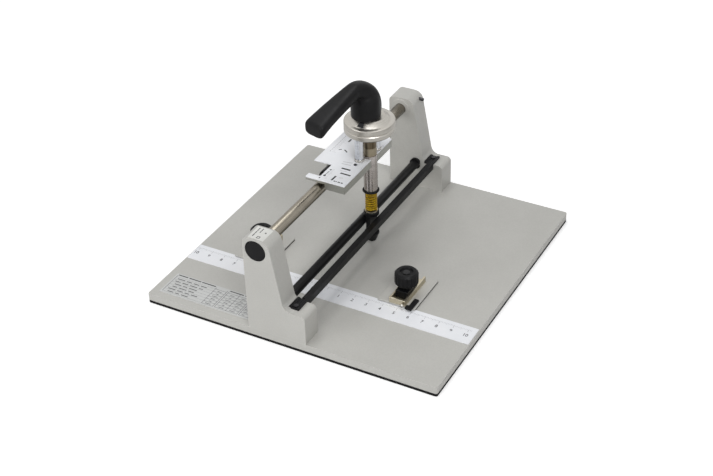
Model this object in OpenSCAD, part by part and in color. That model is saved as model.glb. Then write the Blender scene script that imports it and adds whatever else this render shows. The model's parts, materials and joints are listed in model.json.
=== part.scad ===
// Bench cutting tester for coated panels: a sprung cutter on a carriage that
// slides along a guide rod above a base plate with two side stops.
// Millimetres, +Z up. The origin is the centre of the base, on the table.
// X runs along the ruler, and the carriage travels along Y.

/* [Base] */
// Width of the base plate along the ruler
base_w = 209; // [200:1:240]
// Depth of the base plate along the cut
base_d = 209; // [196:1:240]
// Thickness of the painted base plate
plate_t = 5; // [4.5:0.5:8]
// Thickness of the rubber mat under the plate
mat_t = 2; // [1:0.5:4]
// Corner radius of the plate and the mat
base_corner_r = 1.5; // [1:0.5:8]

/* [Ruler and labels] */
// Width of the ruler strip across its numbers
ruler_w = 16.6; // [10:0.2:20]
// Distance from the base centre line to the middle of the ruler
ruler_back = 51; // [50:0.5:60]
// Thickness of the ruler and label foils
foil_t = 0.3; // [0.2:0.1:0.6]
// Gap between the table label and the back of the near upright
table_gap = 3.7; // [1:0.1:30]
// Depth of the table label
table_d = 21.5; // [12:0.5:24]
// Distance of the table label from the two edges of the plate
table_edge = 5.5; // [3:0.5:10]

/* [Uprights] */
// Thickness of each upright along the cut
upright_t = 15; // [12:0.5:20]
// Height of the guide rod's axis above the plate
rod_height = 60.8; // [56:0.2:75]
// Wall of the upright above the guide rod's axis
head_above_rod = 8.1; // [7.5:0.1:14]
// Wall of the upright behind the guide rod's axis
back_behind_rod = 9; // [8:0.1:16]
// Width of the upright in front of the rod's axis, at its top
head_front = 9.2; // [7:0.1:14]
// Height of the foot above the plate
foot_h = 21; // [16:0.5:26]
// Reach of the foot in front of the cutting line
foot_reach = 15.5; // [12:0.5:24]
// Distance from the cutting line to the neck, just above the foot
neck_reach = 0.8; // [0:0.1:1.5]
// Radius of the inner curve between neck and foot
neck_r = 6; // [2:0.5:7]
// Radius of the rounded top corner
head_r = 6.5; // [3:0.5:8]

/* [Guide rod] */
// Diameter of the polished guide rod
rod_d = 8; // [6:0.5:9]
// Distance of the guide rod behind the cutting line
rod_back = 16.9; // [16.5:0.1:22]
// Rounding of each upright's top corner behind the rod
back_corner_r = 3.5; // [1:0.5:3.5]
// Diameter of the flat boss round the rod, on each upright's inner face
boss_d = 13.6; // [12:0.1:14.5]
// Height of that boss
boss_t = 0.8; // [0.5:0.1:1]
// Diameter of the black caps over the rod's ends
cap_d = 14.5; // [11:0.1:15]
// Thickness of the black caps
cap_t = 2.2; // [1.5:0.1:4]
// Diameter of the locking pin in the far upright
pin_d = 2.2; // [1.5:0.1:2.6]
// Length of the locking pin that stands proud
pin_proud = 2.6; // [2:0.1:8]
// Height of the locking pin above the rod's axis
pin_above_rod = 4.3; // [3:0.1:5.2]

/* [Rails] */
// Gap between the two rails, where the tool runs
rail_gap = 3.6; // [3:0.1:6]
// Width of the front rail
front_rail_w = 7.1; // [6:0.1:10]
// How much narrower the front rail is between the uprights, on its back edge
front_rail_cut = 2.8; // [0:0.1:3.4]
// Depth of the front rail between the uprights
front_rail_h = 5; // [3:0.1:7]
// Thickness of the front rail's end tongues
tongue_t = 1.4; // [1:0.1:2.5]
// Length of the front rail's end tongues
tongue_len = 10.5; // [8:0.5:11]
// Width of the shallow groove along the front rail
groove_w = 3.4; // [2.4:0.1:4.5]
// Depth of the shallow groove along the front rail
groove_h = 0.5; // [0.2:0.1:0.8]
// Diameter of the round rear rail
rear_rail_d = 6.4; // [5:0.1:7]
// Diameter of the grommets at the rear rail's ends
grommet_d = 8.2; // [7.6:0.1:10]
// Length of the grommets that shows
grommet_t = 2; // [1:0.1:3]

/* [Carriage] */
// Place of the cutting tool along the cut, from the base centre
tool_y = 12.3; // [-20:0.1:24]
// Length of the carriage from the tool to its near end
carriage_near = 40.3; // [36:0.1:46]
// Length of the carriage from the tool to its far end
carriage_far = 25.3; // [22:0.1:32]
// Height of the scale plate's top above the rod's axis
deck_above_rod = 8; // [7.8:0.1:10]
// Thickness of the white scale plate
scale_t = 1; // [0.6:0.1:1.5]
// Thickness of the carriage block's bar, without the scale plate
bar_t = 5.3; // [4:0.1:7]
// Overhang of the bar in front of the cutting line
bar_front = 2.8; // [2.4:0.1:4]
// Distance from the guide rod's axis to the bar
bar_from_rod = 5.3; // [5:0.1:6]
// Width of the lip at the scale plate's near end
lip_w = 4.2; // [3:0.1:4.5]
// Thickness of the metal under that lip
lip_t = 1.5; // [1:0.1:2]
// Length of the far bearing lug
far_lug_t = 16.6; // [14:0.1:18]
// Wall of the far bearing lug behind and below the rod's axis
lug_wall = 8.6; // [7.6:0.1:9]
// Diameter of the slim housing round the rod
housing_d = 11.6; // [11:0.1:11.8]
// Length of the notch in the scale plate, behind the lip
notch_len = 15.5; // [14.8:0.1:18]
// Width of the narrow part of the scale plate
scale_narrow = 19.9; // [18.5:0.1:22]
// Width of the wide part of the scale plate
scale_wide = 33.1; // [27:0.1:36]
// Diameter of the black collars of the sliding bushes
bush_collar_d = 13.8; // [13:0.1:13.8]
// Length of the near collar, which shows in the notch
bush_collar_len = 8.8; // [7:0.1:9]
// Distance from the carriage's near end to the near collar
bush_collar_in = 13.4; // [12:0.1:14]
// Outer diameter of the bushes' sleeves inside the housing
sleeve_d = 9.6; // [9.4:0.1:9.8]
// Length of the bushes' sleeves
sleeve_len = 12.5; // [8:0.5:14]
// Thickness of the far bush's flange
bush_flange_t = 1; // [0.6:0.1:1.4]
// Running clearance of bores on their shafts, on the radius
run_gap = 0.05; // [0.02:0.01:0.09]

/* [Press head] */
// Diameter of the two guide posts
post_d = 5.8; // [4.8:0.1:6]
// Distance of the near guide post from the tool's axis, along the cut
post_near = 8.4; // [8:0.1:10]
// Distance of the far guide post from the tool's axis, along the cut
post_far = 9.2; // [8.6:0.1:10]
// Distance of the near guide post behind the cutting line
post_near_back = 3.4; // [0:0.1:4]
// Height of the drum's underside above the scale plate
post_h = 18.2; // [16.5:0.1:24]
// Diameter of the rings at the foot of the guide posts
ring_d = 6.8; // [6.6:0.1:7.4]
// Height of the rings at the foot of the guide posts
ring_h = 1.6; // [1:0.1:2.5]
// Width of the drum's flat rim round the cone
drum_rim = 3; // [2:0.1:5]
// Height of the drum's cylindrical part
drum_h = 9.5; // [8:0.1:14]
// Height of the cone on top of the drum
cone_h = 3; // [1.5:0.1:5]
// Diameter of the foot of the cone
cone_d = 27.6; // [24:0.2:29]
// Diameter of the top of the cone
cone_top_d = 20.4; // [19:0.2:23]
// Diameter of the bronze nut pressed into the drum
nut_d = 13; // [11:0.1:13.4]
// Diameter of the lifting screw
screw_d = 8.6; // [7.6:0.1:9]
// Height of the screw that shows under the drum
screw_show = 11; // [9:0.1:13]
// Travel of the lever's lift
lift = 3.5; // [2:0.1:4]
// Turn of the lever over the whole lift, in degrees
lever_turn = 120; // [60:5:180]

/* [Lever handle] */
// Diameter of the hub's wide part, on the arm's side
hub_d = 19.6; // [18:0.2:21]
// Diameter of the hub's back, round the screw
hub_back_d = 15.4; // [14:0.2:17]
// Distance from the screw's axis to the middle of the hub's wide part
hub_shift = 3.1; // [2:0.1:4]
// Height of the hub below the bend
hub_h = 8.5; // [7:0.1:10]
// Radius of the bend from the hub into the arm
bend_r = 13.8; // [12:0.1:15]
// Width of the arm at the bend
arm_w = 10.7; // [9:0.1:13]
// Thickness of the arm at the bend
arm_t = 9.9; // [8:0.1:12]
// Distance from the screw's axis to the arm's end
arm_len = 49.9; // [42:0.1:60]
// Height of the arm's end above the handle's foot
arm_end_h = 10.1; // [8:0.1:16]
// Width of the arm at its end
arm_end_w = 16.4; // [12:0.1:18]
// Thickness of the arm at its end
arm_end_t = 8; // [6:0.1:10]
// Direction of the arm, from +X, in degrees
arm_angle = 254; // [225:1:285]
// Diameter of the steel stud in the hub
stud_d = 6; // [5:0.1:8]
// Depth of the stud in the hub
stud_in = 14; // [10:0.5:16]

/* [Cutting tool] */
// Outer diameter of the plunger tube
tube_d = 9.3; // [9:0.1:9.6]
// Height of the tube's lower end above the plate
tube_low = 41.7; // [40:0.1:48]
// Thickness of the black ring at the tube's end
oring_t = 1.4; // [1:0.1:1.6]
// Height of the collar that joins the tube and the screw
collar_h = 5.8; // [4.6:0.1:6]
// Outer diameter of the yellow force spring
spring_d = 8.2; // [7.6:0.1:8.6]
// Thickness of the spring's wire
wire_d = 1.1; // [0.8:0.1:1.2]
// Number of turns of the force spring
spring_turns = 9; // [6:1:10]
// Diameter of the holder's guide pin, inside the spring and the tube
guide_d = 4.8; // [4:0.1:5]
// Length of the guide pin inside the tube
guide_in = 12; // [8:0.5:14]
// Travel of the sprung holder
float_travel = 3; // [1:0.1:3]
// Diameter of the holder below the rails and of its flange above them
holder_d = 10.4; // [9:0.1:12]
// Thickness of the holder's flange above the rails
flange_t = 3; // [2:0.1:4]
// Gap between the rails and the holder's flange above them
flange_gap = 0.7; // [0.4:0.1:1]
// Side clearance of the holder's blade between the rails
blade_gap = 0.25; // [0.2:0.05:0.5]
// Height of the holder's body below the rails
body_h = 6.4; // [4:0.1:6.6]
// Diameter of the cutter
cutter_d = 4.4; // [3:0.1:5]
// Gap between the cutter's tip and the bare plate
tip_gap = 0.6; // [0.6:0.1:1]
// Height of the cutter that shows
cutter_h = 2; // [1.2:0.1:2.4]

/* [Side stops] */
// Distance of the right stop's knob from the base centre
right_stop_x = 47.1; // [40:0.1:60]
// Distance of the left stop's knob from the base centre
left_stop_x = 61.4; // [52:0.1:72]
// Distance from the ruler's middle to the stops' knobs
stop_from_ruler = 20.5; // [20:0.1:26]
// Sliding travel of each stop along the cut, away from the ruler
stop_travel = 5; // [2:0.5:5]
// Width of a stop's plate, from the knob outwards to the left
stop_left = 14; // [13:0.1:18]
// Width of a stop's plate, from the knob outwards to the right
stop_right = 12.5; // [12:0.1:16]
// Depth of a stop's plate, from the knob to its far edge
stop_far = 21; // [16:0.5:30]
// Depth of a stop's plate, from the knob to its near edge
stop_near = 13.9; // [12.5:0.1:15]
// Thickness of a stop's plate
stop_plate_t = 1; // [0.8:0.1:1.5]
// Thickness of the black pad under a stop's plate
pad_t = 0.6; // [0.5:0.1:1]
// Width of a stop's steel channel
channel_w = 11.3; // [9.6:0.1:12]
// Length of a stop's steel channel
channel_len = 30.2; // [29:0.1:31]
// Height of a stop's steel channel
channel_h = 4; // [2.5:0.1:5]
// Wall of a stop's steel channel
channel_wall = 0.8; // [0.6:0.1:1.2]
// Thickness of each channel's sides and near end
channel_side = 1.2; // [0.6:0.1:1.6]
// Diameter of the knobs
knob_d = 15.6; // [13:0.1:18]
// Height of the knobs
knob_h = 11; // [8:0.1:14]
// Height of the knobs' underside above the channel's floor
knob_lift = 5.4; // [4:0.1:9]
// Extra height of the left stop's knob, which is drawn loosened
left_knob_rise = 0.4; // [0:0.1:3]
// Diameter of the clamping bolts
bolt_d = 5; // [4:0.1:5.4]

/* [Hidden] */
$fn = 64;
eps = 0.01;

// Levels
plate_z = mat_t + plate_t;
foot_z = plate_z + foot_h;
rod_z = plate_z + rod_height;
deck_z = rod_z + deck_above_rod;
block_z = deck_z - scale_t;
drum_z = deck_z + post_h;
drum_top_z = drum_z + drum_h;
cone_top_z = drum_top_z + cone_h;

// Places across the cut: the ruler's zero and the tool lie on the cutting line
cut_x = -0.8;
rod_x = cut_x - rod_back;
head_y = base_d / 2;
inner_y = head_y - upright_t;

// Flat pieces of one body that fit side by side keep this gap
fit_gap = 0.1;
// Bodies that move past each other keep this gap
air_gap = 0.3;

// Paint and materials
paint = [0.72, 0.72, 0.69];
black = [0.09, 0.09, 0.1];
steel = [0.78, 0.78, 0.78];
dark_steel = [0.35, 0.34, 0.33];
white = [0.93, 0.94, 0.95];
bronze = [0.6, 0.52, 0.4];
yellow = [0.85, 0.66, 0.1];

// ---- Helpers ---------------------------------------------------------------

// One rounded corner of an outline: points on an arc of radius r at corner b,
// between its neighbours a and c. With r = 0 the corner stays sharp.
function unit(v) = v / norm(v);
function arc_corner(a, b, c, r, steps = 8) =
    r <= 0 ? [b] :
    let (
        u = unit(a - b),
        w = unit(c - b),
        half = acos(u * w) / 2,
        centre = b + unit(u + w) * r / sin(half),
        from = b + u * r / tan(half) - centre,
        to = b + w * r / tan(half) - centre,
        a0 = atan2(from[1], from[0]),
        raw = atan2(to[1], to[0]) - a0,
        turn = raw > 180 ? raw - 360 : raw < -180 ? raw + 360 : raw
    )
    [for (i = [0:steps]) centre + r * [cos(a0 + turn * i / steps), sin(a0 + turn * i / steps)]];

// A closed outline from rows of [x, y, corner radius]
function rounded_outline(rows) =
    let (n = len(rows))
    [for (i = [0:n - 1])
        let (a = rows[(i + n - 1) % n], b = rows[i], c = rows[(i + 1) % n])
        each arc_corner([a[0], a[1]], [b[0], b[1]], [c[0], c[1]], b[2])];

// A slab with rounded corners, its underside at z = 0
module rounded_slab(w, d, t, r) {
    linear_extrude(t)
        polygon(rounded_outline([
            [-w / 2, -d / 2, r], [w / 2, -d / 2, r], [w / 2, d / 2, r], [-w / 2, d / 2, r]
        ]));
}

// A block given by its lowest and highest corner
module block(low, high) {
    translate(low) cube(high - low);
}

// A cylinder along Y, from y0 to y1
module y_cylinder(d, y0, y1) {
    translate([0, y0, 0]) rotate([-90, 0, 0]) cylinder(d = d, h = y1 - y0);
}

// A disc with chamfered rims at both ends, standing on z = 0
module chamfered_disc(d, h, c) {
    rotate_extrude()
        polygon([[0, 0], [d / 2 - c, 0], [d / 2, c], [d / 2, h - c], [d / 2 - c, h], [0, h]]);
}

// A slot with round ends from the axis towards -Y, cut through a height
module y_slot(len, w, h) {
    block([-w / 2, -len, 0], [w / 2, 0, h]);
    for (y = [-len, 0]) translate([0, y, 0]) cylinder(d = w, h = h);
}

// ---- Base ------------------------------------------------------------------

stop_y = -ruler_back + stop_from_ruler;
stop_xs = [right_stop_x, -left_stop_x];
head_w = 9;
head_h = 2.2;
head_room = 2.6;
screw_hole_d = 5.2;
screw_head_d = 9.4;
screw_head_h = 3;
screw_inset = 9;
screw_rows = [rod_x + 3, cut_x + foot_reach - screw_inset];

module rubber_mat() {
    color(black) rounded_slab(base_w, base_d, mat_t, base_corner_r);
}

module base_plate() {
    color(paint) difference() {
        translate([0, 0, mat_t]) rounded_slab(base_w, base_d, plate_t, base_corner_r);
        for (x = stop_xs) {
            translate([x, stop_y, mat_t]) cylinder(d = bolt_d + 2 * run_gap, h = plate_t + 1);
            block([x - head_w / 2 - fit_gap, stop_y - head_w / 2 - fit_gap, mat_t - 1],
                  [x + head_w / 2 + fit_gap, stop_y + head_w / 2 + fit_gap, mat_t + head_room]);
        }
        each_upright_screw() {
            cylinder(d = screw_hole_d, h = plate_t + mat_t + 1);
            translate([0, 0, mat_t - 1]) cylinder(d = screw_head_d, h = screw_head_h + 1 + fit_gap);
        }
    }
}

// Repeats its children at each of the four screws that hold the uprights
module each_upright_screw() {
    for (x = screw_rows)
        for (side = [-1, 1])
            translate([x, side * (head_y - upright_t / 2), 0]) children();
}

module ruler_strip() {
    color(white)
        block([-base_w / 2 + 0.6, -ruler_back - ruler_w / 2, plate_z],
              [base_w / 2 - 0.6, -ruler_back + ruler_w / 2, plate_z + foil_t]);
}

module table_label() {
    color(white)
        translate([-base_w / 2 + table_edge, -base_d / 2 + table_edge, plate_z])
            cube([base_w / 2 + upright_back - table_edge - table_gap, table_d, foil_t]);
}

// ---- Uprights --------------------------------------------------------------

label_edge = 3.6;
label_side = 1.2;
upright_back = rod_x - back_behind_rod;
upright_top = rod_z + head_above_rod;
upright_foot_x = cut_x + foot_reach;
upright_neck_x = cut_x + neck_reach;
upright_head_x = rod_x + head_front;
rail_top_z = foot_z + tongue_t;
rear_rail_x = cut_x - rail_gap / 2 - rear_rail_d / 2;
rear_rail_z = rail_top_z - rear_rail_d / 2;
front_rail_x = cut_x + rail_gap / 2;
rear_socket = 8;
cap_deep = cap_t;
screw_in = 12;
rail_screw_d = 2.5;
rail_screw_in = 6;
rail_screw_inset = 3;
rail_screw_y = inner_y + tongue_len - rail_screw_inset;

upright_outline = [
    [upright_back, plate_z, 0],
    [upright_foot_x, plate_z, 0],
    [upright_foot_x, foot_z, 3],
    [upright_neck_x, foot_z, neck_r],
    [upright_head_x, upright_top, head_r],
    [upright_back, upright_top, back_corner_r]
];

// An upright on the near side, from its outer face at y = -head_y
module upright_body() {
    difference() {
        union() {
            translate([0, -inner_y, 0]) rotate([90, 0, 0])
                linear_extrude(upright_t) polygon(rounded_outline(upright_outline));
            translate([rod_x, 0, rod_z]) y_cylinder(boss_d, -inner_y - 1, -inner_y + boss_t);
        }
        translate([rod_x, 0, rod_z]) {
            y_cylinder(rod_d + 2 * run_gap, -head_y - 1, -inner_y + boss_t + 1);
            y_cylinder(cap_d + 2 * run_gap, -head_y - 1, -head_y + cap_deep);
        }
        translate([rear_rail_x, 0, rear_rail_z])
            y_cylinder(rear_rail_d + 2 * run_gap, -inner_y - rear_socket, -inner_y + 1);
        // Seat for the front rail's tongue
        block([front_rail_x - fit_gap, -inner_y - tongue_len - fit_gap, foot_z],
              [front_rail_x + front_rail_w + fit_gap, -inner_y + 1, foot_z + 2 * neck_r]);
        translate([front_rail_x + front_rail_w / 2, -rail_screw_y, foot_z - rail_screw_in])
            cylinder(d = rail_screw_d + 2 * run_gap, h = rail_screw_in + 1);
        for (x = screw_rows)
            translate([x, -head_y + upright_t / 2, plate_z - 1])
                cylinder(d = 5 + 2 * run_gap, h = screw_in + 1);
    }
}

module near_upright() {
    color(paint) upright_body();
}

module far_upright() {
    color(paint) difference() {
        mirror([0, 1, 0]) upright_body();
        translate([pin_in_x - fit_gap, pin_y, pin_z])
            rotate([0, 90, 0]) cylinder(d = pin_d + 2 * run_gap, h = back_behind_rod + foot_reach);
    }
}

module upright_label() {
    color(white)
        block([upright_back + label_edge, -head_y + label_side, upright_top],
              [upright_head_x - head_r, -inner_y - label_side, upright_top + foil_t]);
}

// Countersunk from below, hidden by the mat
module upright_screws() {
    color(dark_steel) each_upright_screw() {
        translate([0, 0, mat_t]) cylinder(d = screw_head_d - 2 * fit_gap, h = screw_head_h);
        translate([0, 0, mat_t + screw_head_h - eps])
            cylinder(d = 5, h = plate_t - screw_head_h + screw_in - 1);
    }
}

// ---- Guide rod -------------------------------------------------------------

rod_end = head_y - cap_t;
pin_y = rod_end - pin_d / 2 - 1;
pin_z = rod_z + pin_above_rod;
// The pin starts beside the rod, clear of it, and ends proud of the slope
pin_in_x = rod_x + rod_d / 2 + fit_gap;
slope = (upright_neck_x - upright_head_x) / (upright_top - foot_z);
pin_face_x = upright_head_x + slope * (upright_top - pin_z);

module guide_rod() {
    color(steel) translate([rod_x, 0, rod_z]) y_cylinder(rod_d, -rod_end, rod_end);
}

module rod_caps() {
    color(black) translate([rod_x, 0, rod_z])
        for (side = [0, 1]) mirror([0, side, 0])
            translate([0, -head_y, 0]) rotate([-90, 0, 0]) chamfered_disc(cap_d, cap_t, 0.3);
}

module rod_lock_pin() {
    color(black)
        translate([pin_in_x, pin_y, pin_z]) rotate([0, 90, 0])
            cylinder(d = pin_d, h = pin_face_x + pin_proud - pin_in_x);
}

// ---- Rails -----------------------------------------------------------------

module front_rail() {
    color(black) difference() {
        union() {
            block([front_rail_x + front_rail_cut, -inner_y + fit_gap, rail_top_z - front_rail_h],
                  [front_rail_x + front_rail_w, inner_y - fit_gap, rail_top_z]);
            for (side = [0, 1]) mirror([0, side, 0])
                block([front_rail_x, -inner_y - tongue_len, foot_z],
                      [front_rail_x + front_rail_w, -inner_y + 1, rail_top_z]);
        }
        for (side = [0, 1]) mirror([0, side, 0])
            block([front_rail_x + (front_rail_w - groove_w) / 2, -head_y, rail_top_z - groove_h],
                  [front_rail_x + (front_rail_w + groove_w) / 2, -inner_y + 1, rail_top_z + 1]);
        for (side = [-1, 1])
            translate([front_rail_x + front_rail_w / 2, side * rail_screw_y, foot_z - 1])
                cylinder(d = rail_screw_d + 2 * run_gap, h = tongue_t + 2);
    }
}

module rail_screws() {
    color(dark_steel)
        for (side = [-1, 1])
            translate([front_rail_x + front_rail_w / 2, side * rail_screw_y, 0]) {
                translate([0, 0, foot_z - rail_screw_in + 1])
                    cylinder(d = rail_screw_d, h = rail_screw_in - 1 + tongue_t - groove_h + eps);
                translate([0, 0, rail_top_z - groove_h])
                    cylinder(d = groove_w - 2 * fit_gap, h = groove_h + 0.2);
            }
}

module rear_rail() {
    color(black) translate([rear_rail_x, 0, rear_rail_z])
        y_cylinder(rear_rail_d, -inner_y - rear_socket + 0.5, inner_y + rear_socket - 0.5);
}

module rail_grommets() {
    color(black) translate([rear_rail_x, 0, rear_rail_z])
        for (side = [0, 1]) mirror([0, side, 0]) difference() {
            y_cylinder(grommet_d, -inner_y, -inner_y + grommet_t);
            y_cylinder(rear_rail_d + 2 * run_gap, -inner_y - 1, -inner_y + grommet_t + 1);
            // Flat beside the gap, so that the tool's blade passes
            block([rear_rail_d / 2, -inner_y - 1, -grommet_d],
                  [grommet_d, -inner_y + grommet_t + 1, grommet_d]);
        }
}

// ---- Carriage --------------------------------------------------------------

near_y = tool_y - carriage_near;
far_y = tool_y + carriage_far;
bar_right = cut_x + bar_front;
bar_left = rod_x + bar_from_rod;
lug_left = rod_x - lug_wall;
lug_low = rod_z - lug_wall;
far_lug_y = far_y - far_lug_t;
scale_screw_d = 2.4;
scale_screw_edge = 6;
scale_screw_near = 26;
scale_screw_far = 5;
scale_screw_in = 2.5;
scale_screw_places = [[bar_right - scale_screw_edge, near_y + scale_screw_near],
                      [bar_right - scale_screw_edge, far_y - scale_screw_far]];

collar_y0 = near_y + bush_collar_in;
collar_y1 = collar_y0 + bush_collar_len;

// Metal round the guide rod: a slim tube with a web up to the bar, and a lug
// at the far end
module bearing_housing() {
    translate([rod_x, 0, rod_z]) y_cylinder(housing_d, collar_y1 + fit_gap, far_lug_y + 1);
    block([rod_x - housing_d / 2, collar_y1 + fit_gap, rod_z], [bar_left + 1, far_lug_y + 1, block_z]);
    block([lug_left, far_lug_y, lug_low], [rod_x + lug_wall, far_y, block_z]);
}

module carriage_block() {
    color(paint) difference() {
        union() {
            block([bar_left, near_y, block_z - bar_t], [bar_right, far_y, block_z]);
            block([lug_left, near_y, block_z - lip_t], [bar_left + 1, notch_y0, block_z]);
            bearing_housing();
        }
        translate([rod_x, 0, rod_z]) {
            y_cylinder(sleeve_d + 2 * run_gap, near_y + lip_w, far_y + 1);
            // Room for the near bush's collar beside the bar
            y_cylinder(bush_collar_d + 4 * fit_gap, collar_y0 - fit_gap, collar_y1 + fit_gap);
        }
        translate([cut_x, tool_y, lug_low - 1])
            cylinder(d = tube_d + 2 * run_gap, h = deck_above_rod + lug_wall + 2);
        each_post() translate([0, 0, block_z - bar_t + 1])
            cylinder(d = post_stub_d + 2 * run_gap, h = bar_t);
        for (p = scale_screw_places)
            translate([p[0], p[1], block_z - scale_screw_in - 0.5])
                cylinder(d = scale_screw_d + 2 * run_gap, h = scale_screw_in + 1);
    }
}

// White plate with the pressure scale: narrow at the near end, with a lip over
// the rod, a notch behind it, then the full width
scale_left = bar_right - scale_wide;
scale_step_x = bar_right - scale_narrow;
notch_y0 = near_y + lip_w;
notch_y1 = notch_y0 + notch_len;
scale_outline = [
    [bar_right, near_y], [bar_right, far_y], [scale_left, far_y], [scale_left, notch_y1],
    [scale_step_x, notch_y1], [scale_step_x, notch_y0], [lug_left, notch_y0], [lug_left, near_y]
];

module scale_plate() {
    color(white) difference() {
        translate([0, 0, block_z]) linear_extrude(scale_t) polygon(scale_outline);
        translate([cut_x, tool_y, block_z - 1]) cylinder(d = tube_d + 0.6, h = scale_t + 2);
        each_post() translate([0, 0, block_z - 1])
            cylinder(d = post_stub_d + 2 * run_gap, h = scale_t + 2);
        for (p = scale_screw_places)
            translate([p[0], p[1], block_z - 1]) cylinder(d = scale_screw_d + 2 * run_gap, h = scale_t + 2);
    }
}

module scale_screws() {
    color(dark_steel)
        for (p = scale_screw_places) translate([p[0], p[1], block_z - scale_screw_in])
            cylinder(d = scale_screw_d, h = scale_screw_in + scale_t + fit_gap);
}

// Black bushes round the rod: a long collar at the near end, a thin flange at
// the far end, each with a sleeve inside the housing
module slide_bushes() {
    color(black) translate([rod_x, 0, rod_z]) {
        difference() {
            union() {
                y_cylinder(bush_collar_d, collar_y0, collar_y1);
                y_cylinder(sleeve_d, collar_y1 - eps, collar_y1 + sleeve_len);
            }
            y_cylinder(rod_d + 2 * run_gap, collar_y0 - 1, collar_y1 + sleeve_len + 1);
        }
        difference() {
            union() {
                y_cylinder(sleeve_d, far_y - sleeve_len, far_y + eps);
                y_cylinder(bush_collar_d, far_y, far_y + bush_flange_t);
            }
            y_cylinder(rod_d + 2 * run_gap, far_y - sleeve_len - 1, far_y + bush_flange_t + 1);
        }
    }
}

// ---- Press head ------------------------------------------------------------

post_edge = 0.1;
far_post_x = bar_right - post_d / 2 - post_edge;
post_in_drum = 5;
post_stub_d = post_d - 1.7;

// Repeats its children at each guide post
module each_post() {
    translate([cut_x - post_near_back, tool_y - post_near, 0]) children();
    translate([far_post_x, tool_y + post_far, 0]) children();
}

module guide_posts() {
    color(steel) each_post() {
        translate([0, 0, deck_z]) cylinder(d = post_d, h = post_h);
        translate([0, 0, drum_z - eps]) cylinder(d = post_stub_d, h = post_in_drum);
        translate([0, 0, block_z - bar_t + 1.2]) cylinder(d = post_stub_d, h = scale_t + bar_t);
    }
}

module post_rings() {
    color(steel) each_post() translate([0, 0, deck_z]) difference() {
        cylinder(d = ring_d, h = ring_h);
        translate([0, 0, -1]) cylinder(d = post_d + 2 * run_gap, h = ring_h + 2);
    }
}

rim_c = 1.6;
groove_c = 0.6;
drum_r = cone_d / 2 + drum_rim;
groove_z = drum_h * 0.55;
drum_outline = [
    [nut_d / 2, 0], [drum_r - rim_c * 2, 0], [drum_r - rim_c, rim_c * 0.4], [drum_r, rim_c * 1.2],
    [drum_r, groove_z - groove_c], [drum_r - groove_c, groove_z], [drum_r, groove_z + groove_c],
    [drum_r, drum_h - 0.6], [drum_r - 0.6, drum_h],
    [cone_d / 2 + 0.8, drum_h], [cone_d / 2 + 0.5, drum_h - 0.5], [cone_d / 2, drum_h - 0.5],
    [cone_d / 2, drum_h], [cone_top_d / 2, drum_h + cone_h], [nut_d / 2, drum_h + cone_h]
];

module head_drum() {
    color(steel) difference() {
        translate([cut_x, tool_y, drum_z]) rotate_extrude() polygon(drum_outline);
        each_post() translate([0, 0, drum_z - 1]) cylinder(d = post_stub_d + 2 * run_gap, h = post_in_drum + 1.3);
    }
}

module lift_nut() {
    color(bronze) translate([cut_x, tool_y, drum_z]) difference() {
        cylinder(d = nut_d - 2 * run_gap, h = drum_h + cone_h);
        translate([0, 0, -1]) cylinder(d = screw_d + 2 * run_gap, h = drum_h + cone_h + 2);
    }
}

// ---- Plunger ---------------------------------------------------------------

tube_z = plate_z + tube_low;
collar_top_z = drum_z - screw_show;
collar_z = collar_top_z - collar_h;
tube_bore_d = guide_d + 2 * run_gap;
tube_r = tube_d / 2;
ring_r = oring_t / 2;
ring_groove = oring_t / 4;
ring_axis_z = tube_z + oring_t / 2;

// The tube's lower bore takes the guide pin, its upper end fits the collar
module plunger_tube() {
    color(steel) translate([cut_x, tool_y, 0]) difference() {
        translate([0, 0, tube_z]) cylinder(d = tube_d, h = collar_z - tube_z);
        translate([0, 0, tube_z - 1]) cylinder(d = tube_bore_d, h = guide_in + float_travel + 3);
        translate([0, 0, ring_axis_z]) rotate_extrude()
            translate([tube_r + ring_r - ring_groove, 0]) circle(d = oring_t + 2 * run_gap, $fn = 24);
    }
}

module tube_ring() {
    color(black) translate([cut_x, tool_y, ring_axis_z])
        rotate_extrude() translate([tube_r + ring_r - ring_groove, 0]) circle(d = oring_t, $fn = 24);
}

module tube_collar() {
    color(bronze) translate([cut_x, tool_y, collar_z]) difference() {
        chamfered_disc(screw_d, collar_h, 0.3);
        translate([0, 0, collar_h - swivel_in]) cylinder(d = swivel_d + 2 * run_gap, h = swivel_in + 1);
    }
}

swivel_d = 4.4;
swivel_in = 3.4;
handle_z = cone_top_z + air_gap;

module lift_screw() {
    color(dark_steel) translate([cut_x, tool_y, 0]) {
        translate([0, 0, collar_top_z - swivel_in + 0.2]) cylinder(d = swivel_d, h = swivel_in + 1);
        translate([0, 0, collar_top_z + 0.05]) cylinder(d = screw_d, h = handle_z - collar_top_z - 0.05);
        translate([0, 0, handle_z - eps]) cylinder(d = stud_d, h = stud_in);
    }
}

// ---- Force spring ----------------------------------------------------------

holder_top_z = rail_top_z + flange_gap + flange_t;
seat_t = 0.8;
spring_low = holder_top_z + seat_t + 0.05;
spring_high = tube_z - 0.05;
spring_r = (spring_d - wire_d) / 2;
ring_sides = 8;
ring_steps = 20;
helix_n = spring_turns * ring_steps;

// Point k of ring i on the wire's surface
function helix_point(i, k) =
    let (
        a = 360 * i / ring_steps,
        b = 360 * k / ring_sides,
        z = spring_low + wire_d / 2 + (spring_high - spring_low - wire_d) * i / helix_n,
        r = spring_r + wire_d / 2 * cos(b)
    ) [r * cos(a), r * sin(a), z + wire_d / 2 * sin(b)];

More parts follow.
